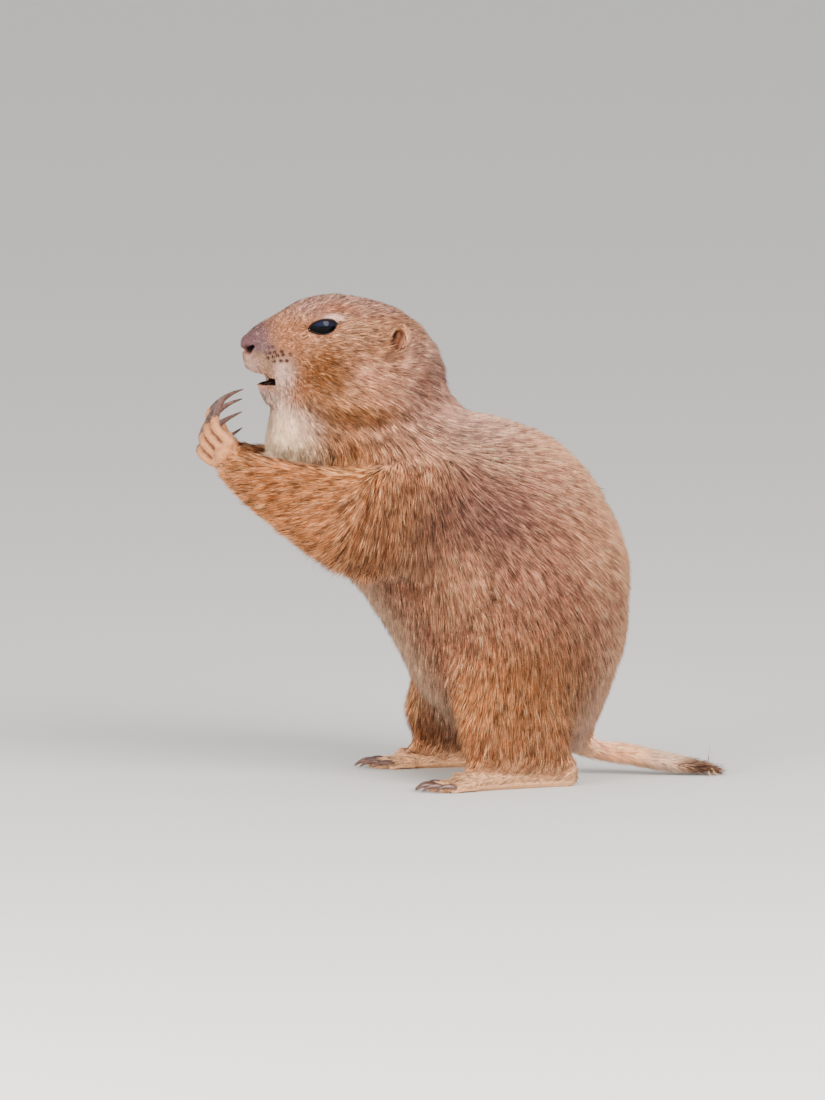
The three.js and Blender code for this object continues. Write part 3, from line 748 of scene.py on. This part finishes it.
# The insides of the mouth, nostrils and ear slits are painted near black: painted shade of their depth.
wash(paint(22, 11, 9), smooth_step(mouth_hole, 0.1, 0.6), 0)
wash(paint(98, 67, 62), 0.7 * cleft, 0)
wash(paint(13, 8, 7), nostril_hole, 0)
wash(paint(24, 14, 11), ear_hole, 0)
wash(paint(60, 46, 50), 0.85 * eye_spur, 0)
wash(paint(20, 13, 14), lid_line, 0)
holes = smooth_step(np.maximum.reduce((mouth_hole, nostril_hole, ear_hole)), 0.01, 0.2)
bare = np.maximum.reduce((nose_pad, lips * 0.8, holes, lid_line, ear_shell))


def add_colour(mesh, name, colours):
    attribute = mesh.attributes.new(name, "FLOAT_COLOR", "POINT")
    flat = np.column_stack((colours, np.ones(len(colours)))).astype(np.float32)
    attribute.data.foreach_set("color", flat.ravel())


def add_value(mesh, name, values):
    attribute = mesh.attributes.new(name, "FLOAT", "POINT")
    attribute.data.foreach_set("value", values.astype(np.float32))


hairless = part_is("hand", "foot", "ear").astype(float)
hollow = ((even_out(points, edges, 5) - points) * normals).sum(axis=1) / millimetre
# Paws and ears are painted darker in their hollows: painted shade in the creases.
wash(paint(62, 37, 28), 0.85 * smooth_step(hollow, 0.03, 0.22) * hairless, 0)
# The hide under the fur is painted darker, most under brown fur: painted shade between the hairs.
shade_under_fur = np.interp(tint[:, 1], (0.23, 0.55), (0.32, 0.9))
shade_under_fur += (1 - shade_under_fur) * np.maximum(bare, hairless)
add_colour(skin.data, "marking", tint * shade_under_fur[:, None])

# Gloss is 0 on dry hide, above 0 on bare skin, and below 0 in the dull hollows.
dull = np.maximum(holes, ear_shell)
add_value(skin.data, "gloss", 0.6 * np.maximum(bare, hairless) * (1 - dull) - 0.6 * dull)


def new_material(name):
    material = bpy.data.materials.new(name)
    material.use_nodes = True
    nodes = material.node_tree.nodes
    return material, nodes, material.node_tree.links, nodes["Principled BSDF"]


def add_node(nodes, kind, **values):
    node = nodes.new(kind)
    for key, value in values.items():
        if hasattr(node, key):
            setattr(node, key, value)
        else:
            node.inputs[key.replace("_", " ")].default_value = value
    return node


def texture_on_piece(nodes, links, kind, **values):
    """A node, such as a texture, that reads the piece's own coordinates."""
    place = add_node(nodes, "ShaderNodeTexCoord")
    texture = add_node(nodes, kind, **values)
    links.new(place.outputs["Object"], texture.inputs["Vector"])
    return texture


def marked_colour():
    """The markings with fine uneven streaks, for the hide and the hair alike."""
    group = bpy.data.node_groups.new("coat marking", "ShaderNodeTree")
    group.interface.new_socket("Marking", in_out="INPUT", socket_type="NodeSocketColor")
    group.interface.new_socket("Streak Size", in_out="INPUT", socket_type="NodeSocketFloat")
    group.interface.new_socket("Streak Depth", in_out="INPUT", socket_type="NodeSocketFloat")
    group.interface.new_socket("Color", in_out="OUTPUT", socket_type="NodeSocketColor")
    entry = add_node(group.nodes, "NodeGroupInput")
    exit_node = add_node(group.nodes, "NodeGroupOutput")
    streaks = texture_on_piece(group.nodes, group.links, "ShaderNodeTexNoise", Detail=3)
    centred = add_node(group.nodes, "ShaderNodeMath", operation="SUBTRACT")
    centred.inputs[1].default_value = 0.5
    scaled = add_node(group.nodes, "ShaderNodeMath", operation="MULTIPLY_ADD")
    scaled.inputs[2].default_value = 1.0
    streaked = add_node(group.nodes, "ShaderNodeHueSaturation", Saturation=coat_richness)
    group.links.new(entry.outputs["Streak Size"], streaks.inputs["Scale"])
    group.links.new(streaks.outputs["Fac"], centred.inputs[0])
    group.links.new(centred.outputs[0], scaled.inputs[0])
    group.links.new(entry.outputs["Streak Depth"], scaled.inputs[1])
    group.links.new(scaled.outputs[0], streaked.inputs["Value"])
    group.links.new(entry.outputs["Marking"], streaked.inputs["Color"])
    group.links.new(streaked.outputs["Color"], exit_node.inputs["Color"])
    return group


def paint_marking(nodes, links, shader, streak_size, streak_depth):
    marking = add_node(nodes, "ShaderNodeAttribute", attribute_name="marking")
    finish = add_node(nodes, "ShaderNodeGroup", node_tree=coat_marking)
    finish.inputs["Streak Size"].default_value = streak_size
    finish.inputs["Streak Depth"].default_value = streak_depth
    links.new(marking.outputs["Color"], finish.inputs["Marking"])
    links.new(finish.outputs["Color"], shader.inputs["Base Color"])


coat_richness = 1.05
coat_marking = marked_colour()
skin_finish, nodes, links, shader = new_material("skin")
paint_marking(nodes, links, shader, 500, 0.5)
pores = texture_on_piece(nodes, links, "ShaderNodeTexNoise", Scale=1600, Detail=3)
creases = texture_on_piece(nodes, links, "ShaderNodeTexVoronoi", Scale=900)
relief = add_node(nodes, "ShaderNodeMath", operation="ADD")
bump = add_node(nodes, "ShaderNodeBump", Strength=0.35, Distance=0.0003)
links.new(pores.outputs["Fac"], relief.inputs[0])
links.new(creases.outputs["Distance"], relief.inputs[1])
links.new(relief.outputs[0], bump.inputs["Height"])
links.new(bump.outputs["Normal"], shader.inputs["Normal"])
gloss = add_node(nodes, "ShaderNodeAttribute", attribute_name="gloss")
dryness = add_node(nodes, "ShaderNodeMapRange", clamp=False, To_Min=0.75, To_Max=0.4)
links.new(gloss.outputs["Fac"], dryness.inputs["Value"])
links.new(dryness.outputs["Result"], shader.inputs["Roughness"])
shader.inputs["Specular IOR Level"].default_value = 0.25
skin.data.materials.append(skin_finish)

select_only(skin)
bpy.ops.object.shade_smooth()
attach(skin, "root")
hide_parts(*flesh_names)

# Eyes
# Wet, almost black balls, each behind the slit of its lids. A faint blue painted
# reflection of the sky lies on the upper half.
eye_finish, nodes, links, shader = new_material("eye")
shader.inputs["Roughness"].default_value = 0.05
shader.inputs["Specular IOR Level"].default_value = 0.09
eye_height = (eye_low.z + eye_high.z) / 2
# Above its middle each ball is painted faint blue: a painted reflection of the sky.
sky_reflection_start = eye_height - 0.1 * millimetre
sky_reflection_full = eye_height + 0.8 * millimetre
height = texture_on_piece(nodes, links, "ShaderNodeSeparateXYZ")
sky_reflection_share = add_node(nodes, "ShaderNodeMapRange", interpolation_type="SMOOTHSTEP")
sky_reflection_share.inputs["From Min"].default_value = sky_reflection_start
sky_reflection_share.inputs["From Max"].default_value = sky_reflection_full
sky_mottle = texture_on_piece(nodes, links, "ShaderNodeTexNoise", Scale=500, Detail=4)
painted_sky = add_node(nodes, "ShaderNodeMix", data_type="RGBA")
painted_sky.inputs["A"].default_value = (*paint(14, 15, 24), 1)
painted_sky.inputs["B"].default_value = (*paint(31, 33, 50), 1)
ball_colour = add_node(nodes, "ShaderNodeMix", data_type="RGBA")
ball_colour.inputs["A"].default_value = (*paint(6, 6, 7), 1)
links.new(height.outputs["Z"], sky_reflection_share.inputs["Value"])
links.new(sky_mottle.outputs["Fac"], painted_sky.inputs["Factor"])
links.new(painted_sky.outputs["Result"], ball_colour.inputs["B"])
links.new(sky_reflection_share.outputs["Result"], ball_colour.inputs["Factor"])
links.new(ball_colour.outputs["Result"], shader.inputs["Base Color"])
for name in eye_names:
    low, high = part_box(name)
    bpy.ops.object.select_all(action="DESELECT")
    bpy.ops.mesh.primitive_uv_sphere_add(
        segments=64, ring_count=40, radius=eye_radius, location=(low + high) / 2,
        rotation=(0, math.radians(90), 0),
    )
    ball = bpy.context.object
    bpy.ops.object.transform_apply(location=True, rotation=True, scale=True)
    ball.name = name + "_ball"
    bpy.ops.object.shade_smooth()
    ball.data.materials.append(eye_finish)
    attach(ball, "root")
    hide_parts(name)

# Claws
# Dark, unevenly tinted horn that tapers to a point. Each claw is rounded from its solid,
# bowed a little more to the side it bends to, and filled out at the root.
horn, nodes, links, shader = new_material("horn")
growth = texture_on_piece(nodes, links, "ShaderNodeTexNoise", Scale=420, Detail=5, Roughness=0.6)
horn_colour = add_node(nodes, "ShaderNodeValToRGB")
horn_colour.color_ramp.elements[0].position = 0.3
horn_colour.color_ramp.elements[0].color = (*paint(44, 30, 26), 1)
horn_colour.color_ramp.elements[1].position = 0.72
horn_colour.color_ramp.elements[1].color = (*paint(98, 71, 62), 1)
bump = add_node(nodes, "ShaderNodeBump", Strength=0.3, Distance=0.0002)
links.new(growth.outputs["Fac"], horn_colour.inputs["Fac"])
links.new(horn_colour.outputs["Color"], shader.inputs["Base Color"])
links.new(growth.outputs["Fac"], bump.inputs["Height"])
links.new(bump.outputs["Normal"], shader.inputs["Normal"])
shader.inputs["Roughness"].default_value = 0.38
claw_filling = 0.5 * millimetre
claw_bow = 0.07
for name, claw in zip(claw_names, copies_of(claw_names)):
    weld(claw)
    claw.name = name + "_horn"
    claw.data.attributes.remove(claw.data.attributes["part"])
    apply_modifier(claw, "round", "SUBSURF", levels=2, render_levels=2)
    spots = corners_of(claw.data)
    root, tip = claw_ends[name]
    reach = np.linalg.norm(tip - root)
    axis = (tip - root) / reach
    share = ((spots - root) @ axis / reach).clip(0, 1)
    waist = spots[abs(share - 0.5) < 0.25].mean(axis=0) - (root + tip) / 2
    waist -= axis * (waist @ axis)
    bow = claw_bow * reach * waist / np.linalg.norm(waist).clip(1e-9)
    set_corners(claw.data, spots + bow * (4 * share * (1 - share))[:, None])
    stem = claw.vertex_groups.new(name="stem")
    for corner, fullness in enumerate(1 - 0.9 * smooth_step(share, 0.2, 1.0)):
        stem.add([corner], fullness, "REPLACE")
    apply_modifier(claw, "fill out", "DISPLACE", strength=claw_filling, mid_level=0, vertex_group="stem")
    bpy.ops.object.shade_smooth()
    claw.data.materials.append(horn)
    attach(claw, "root")
    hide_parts(name)

# Coat: tufts
# Each tuft is a thin closed spike rooted in the hide. It leaves the hide at a low
# angle along the lie and ends in a point, and neighbouring tufts lean together into
# locks. Most are dark at the root and pale towards the tip, and some have dark tips.
draw = np.random.default_rng(7)
coat_share = 1.0
points = corners_of(skin.data)
normals = normals_of(skin.data)
triangles = triangles_of(skin.data)
hair_room = (1 - bare).clip(0, 1) * smooth_step(lid_edge, 1.1, 1.9)
density = even_out(density, edges, 6) * smooth_step(hair_room, 0.35, 0.8)
width = even_out(width, edges, 6)
way = unit(way - normals * (way * normals).sum(1, keepdims=True))
density *= 1 - sole
root_depth = 0.4 * millimetre
floor_gap = 0.1 * millimetre
pale_tip_paint = np.array(paint(240, 196, 156))

# How far tufts stray from the lie, the least and greatest shares of their lift, length
# and width, and how far the shades of tufts and of whole locks stray.
lie_straying = 0.13
lift_shares = (0.65, 1.4)
length_shares = (0.7, 1.12)
width_shares = (0.75, 1.25)
tuft_shade_straying = 0.25
lock_shade_straying = 0.4

# A tuft has three corners round its root and one at its tip, and lies on a small patch
# of the unwrap at its root's place.
root_turns = np.radians((90, 210, 330))
faces_of_tuft = np.array(((0, 2, 1), (0, 1, 3), (1, 2, 3), (2, 0, 3)))
patch_width = 0.003
spots_on_patch = np.array(((-0.5, -0.4), (-0.5, 0), (-0.5, 0.4), (0.5, 0)))


def unwrapped(corners, faces):
    """Where the corners of each face lie on an unwrap of this stretch of hide."""
    mesh = bpy.data.meshes.new("stretch")
    used, local = np.unique(faces, return_inverse=True)
    mesh.from_pydata(corners[used].tolist(), [], local.reshape(-1, 3).tolist())
    stretch = bpy.data.objects.new("stretch", mesh)
    bpy.context.scene.collection.objects.link(stretch)
    edit_all(stretch, bpy.ops.uv.smart_project, angle_limit=math.radians(66), island_margin=0.002)
    places_on_unwrap = read_all(mesh.uv_layers.active.data, "uv", 2, np.float32)
    bpy.data.objects.remove(stretch)
    return places_on_unwrap.reshape(-1, 3, 2)


def mesh_of(name, corners, faces):
    mesh = bpy.data.meshes.new(name)
    mesh.vertices.add(len(corners))
    mesh.vertices.foreach_set("co", corners.astype(np.float32).ravel())
    mesh.loops.add(faces.size)
    mesh.loops.foreach_set("vertex_index", faces.astype(np.int32).ravel())
    mesh.polygons.add(len(faces))
    mesh.polygons.foreach_set("loop_start", np.arange(0, faces.size, 3, dtype=np.int32))
    mesh.update()
    thing = bpy.data.objects.new(name, mesh)
    bpy.context.scene.collection.objects.link(thing)
    return thing


def scatter(faces):
    """Random roots: the face that each stands on, and its weights for the corners."""
    a, b, c = (points[faces[:, k]] for k in range(3))
    area = np.linalg.norm(np.cross(b - a, c - a), axis=1) / 2 / millimetre**2
    total = np.cumsum(area * density[faces].mean(axis=1) * coat_share)
    count = int(total[-1])
    place = (np.arange(count) + draw.random(count)) / count * total[-1]
    face = np.searchsorted(total, place).clip(0, len(faces) - 1)
    first, second = draw.random((2, count))
    flip = first + second > 1
    first[flip], second[flip] = 1 - first[flip], 1 - second[flip]
    return face, np.column_stack((1 - first - second, first, second))


def tuft_colours(colour, speckle, lock, patchy):
    """The colours of each tuft's root and tip, which the tufts of a lock partly share."""
    count = len(colour)
    lightness = colour[:, 1:2]
    shade = 1 + tuft_shade_straying * draw.normal(size=count)
    shade *= (1 + lock_shade_straying * patchy * draw.normal(size=count))[lock]
    shade = 1 + (shade.clip(0.3, 2.0)[:, None] - 1) * np.interp(lightness, (0.28, 0.65), (1.0, 0.3))
    dark_draw = 0.3 * draw.random(count) + 0.7 * draw.random(count)[lock]
    dark_tip = (dark_draw < 0.25 + 0.5 * speckle)[:, None] & (lightness < 0.4)
    paleness = 0.35 * draw.beta(0.7, 1.4, count) + 0.65 * patchy * draw.beta(0.7, 1.4, count)[lock]
    paleness *= np.interp(lightness[:, 0], (0.03, 0.23), (0.4, 1))
    pale_tip = colour + (pale_tip_paint - colour).clip(0, 1) * paleness[:, None]
    # Roots are darker: partly their own dusky underfur, partly painted shade deep in the coat.
    root_shade = np.interp(lightness, (0.16, 0.5), (0.42, 0.95))
    tip_colour = np.where(dark_tip, colour * 0.2, pale_tip) * shade
    root_colour = np.where(dark_tip, colour * 0.7, colour * root_shade) * shade
    return root_colour, tip_colour


def grow(name, chosen, pull=0.5, lock_of=4, patchy=1.0):
    """Covers the chosen faces of the hide with tufts."""
    faces = triangles[chosen]
    uv_of_face = unwrapped(points, faces)
    face, weights = scatter(faces)
    corner = faces[face]
    count = len(face)

    def here(values):
        values = values.reshape(len(values), -1)
        return (values[corner] * weights[:, :, None]).sum(axis=1)

    root = here(points)
    normal = unit(here(normals))
    lie = unit(here(way) + lie_straying * draw.normal(size=(count, 3)))
    lie = unit(lie - normal * (lie * normal).sum(1, keepdims=True))
    angle = np.radians(here(lift)[:, 0] * draw.uniform(*lift_shares, count))[:, None]
    run = (here(length)[:, 0] * draw.uniform(*length_shares, count) * millimetre)[:, None]
    way_out = lie * np.cos(angle) + normal * np.sin(angle)
    tip = root + way_out * run

    # Every tuft leans towards the tip of the nearest lock.
    leaders = np.arange(0, count, lock_of)
    tree = KDTree(len(leaders))
    for leader in leaders:
        tree.insert(root[leader], leader)
    tree.balance()
    lock = np.array([tree.find(spot)[1] for spot in root.tolist()])
    gather = (tip[lock] - tip) * pull * draw.uniform(0.4, 1.0, (count, 1))
    gather *= (0.5 * run / np.linalg.norm(gather, axis=1, keepdims=True).clip(1e-9)).clip(0, 1)
    tip += gather
    tip[:, 2] = tip[:, 2].clip(floor_gap)

    across = unit(np.cross(tip - root, normal))
    above = unit(np.cross(across, tip - root))
    half = here(width)[:, 0][:, None] * draw.uniform(*width_shares, (count, 1)) * millimetre / 2
    sunk = root - normal * root_depth
    tuft_uv = (uv_of_face[face] * weights[:, :, None]).sum(axis=1)
    root_colour, tip_colour = tuft_colours(here(tint), here(grizzle)[:, 0], lock, patchy)
    rows = [sunk + (across * math.cos(turn) + above * math.sin(turn)) * half for turn in root_turns]
    colours = [root_colour] * len(rows) + [tip_colour]
    rows.append(tip)
    corners = np.stack(rows, axis=1).reshape(-1, 3)
    start = (np.arange(count) * len(rows))[:, None, None]
    tuft_faces = (start + faces_of_tuft).reshape(-1, 3)
    coat = mesh_of(name, corners, tuft_faces)
    add_colour(coat.data, "marking", np.stack(colours, axis=1).reshape(-1, 3).clip(0, 1))
    uv = (tuft_uv[:, None, :] + spots_on_patch * patch_width).reshape(-1, 2)
    layer = coat.data.uv_layers.new(name="OFBake")
    layer.data.foreach_set("uv", uv[tuft_faces.ravel()].astype(np.float32).ravel())
    coat.data.materials.append(fur)
    select_only(coat)
    bpy.ops.object.shade_smooth()
    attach(coat, "root")


fur, nodes, links, shader = new_material("fur")
paint_marking(nodes, links, shader, 260, 1.2)
shader.inputs["Roughness"].default_value = 0.55
shader.inputs["Specular IOR Level"].default_value = 0.35

face_part = parts[triangles[:, 0]]
face_middle = points[triangles].mean(axis=1) / millimetre
left_side = face_middle[:, 0] > 0
face_from_nose = from_nose[triangles[:, 0]]
muzzle_reach = 36


def on(*stems):
    return np.logical_or.reduce([np.char.startswith(face_part, stem) for stem in stems])


on_muzzle = on("head") & (face_from_nose < muzzle_reach)
behind_muzzle = on("head", "ear") & (face_from_nose >= muzzle_reach)
grow("coat_muzzle", on_muzzle, pull=0.15, patchy=0.75)
for side_name, side in (("left", left_side), ("right", ~left_side)):
    grow("coat_head_" + side_name, behind_muzzle & side, pull=0.35, patchy=0.8)
    grow("coat_neck_" + side_name, on("neck") & side)
    grow("coat_shoulder_" + side_name, on("shoulders") & side)
    grow("coat_torso_" + side_name, on("torso") & side)
    grow("coat_arm_" + side_name, on("upper_arm", "forearm") & side)
    grow("coat_leg_" + side_name, on("haunch", "lower_leg") & side)
grow("coat_rump", on("rump"))
grow("coat_tail", on("tail"))
grow("coat_paws", on("hand", "foot"), pull=0.1, patchy=0.5)

# Whiskers
# Tapering hairs that leave every second dot of the muzzle, sweep out and back and droop
# towards their tips. The longest stand at the back of each row.
hide = BVHTree.FromPolygons(points.tolist(), triangles.tolist())
whisker_sides = 5
whisker_rings = 7
whisker_root_radius = 0.06
whisker_taper = 0.045
front_whisker_place = -77
front_whisker_length = 7
longer_each_dot = 2.2
droop = Vector((0, 0.1, -0.5))
corners, faces = [], []
for side in (1, -1):
    for along, up in whisker_roots[::2]:
        outside = Vector(unstraighten(np.array([(side * 30.0, along, up)]))[0])
        inside = Vector(unstraighten(np.array([(0.0, along, up)]))[0])
        root, root_normal, _, _ = hide.ray_cast(outside, (inside - outside).normalized())
        towards_back = (along - front_whisker_place) / dot_step
        reach = front_whisker_length + longer_each_dot * towards_back
        reach = reach * draw.uniform(0.8, 1.15) * millimetre
        sweep = Vector((0, 0.3 * towards_back - 0.3, -0.25 - 0.1 * draw.random()))
        heading = (Vector(root_normal) + sweep).normalized()
        beside = heading.orthogonal().normalized()
        upward = heading.cross(beside)
        first_corner = len(corners)
        for ring in range(whisker_rings):
            share = ring / (whisker_rings - 1)
            spot = root + heading * reach * (share - 0.04) + droop * reach * share * share
            radius = (whisker_root_radius - whisker_taper * share) * millimetre
            for step in range(whisker_sides):
                turn = 2 * math.pi * step / whisker_sides
                corners.append(spot + (beside * math.cos(turn) + upward * math.sin(turn)) * radius)
        for ring in range(whisker_rings - 1):
            for step in range(whisker_sides):
                a = first_corner + ring * whisker_sides + step
                b = first_corner + ring * whisker_sides + (step + 1) % whisker_sides
                faces += [(a, b, b + whisker_sides), (a, b + whisker_sides, a + whisker_sides)]
        last = first_corner + (whisker_rings - 1) * whisker_sides
        for step in range(1, whisker_sides - 1):
            faces.append((first_corner, first_corner + step + 1, first_corner + step))
            faces.append((last, last + step, last + step + 1))
whiskers = mesh_of("whiskers", np.array(corners), np.array(faces))
bristle, nodes, links, shader = new_material("whisker")
banding = texture_on_piece(nodes, links, "ShaderNodeTexNoise", Scale=300)
bristle_colour = add_node(nodes, "ShaderNodeMix", data_type="RGBA")
bristle_colour.inputs["A"].default_value = (*paint(196, 158, 130), 1)
bristle_colour.inputs["B"].default_value = (*paint(140, 106, 84), 1)
links.new(banding.outputs["Fac"], bristle_colour.inputs["Factor"])
links.new(bristle_colour.outputs["Result"], shader.inputs["Base Color"])
shader.inputs["Roughness"].default_value = 0.4
whiskers.data.materials.append(bristle)
select_only(whiskers)
bpy.ops.object.shade_smooth()
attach(whiskers, "root")
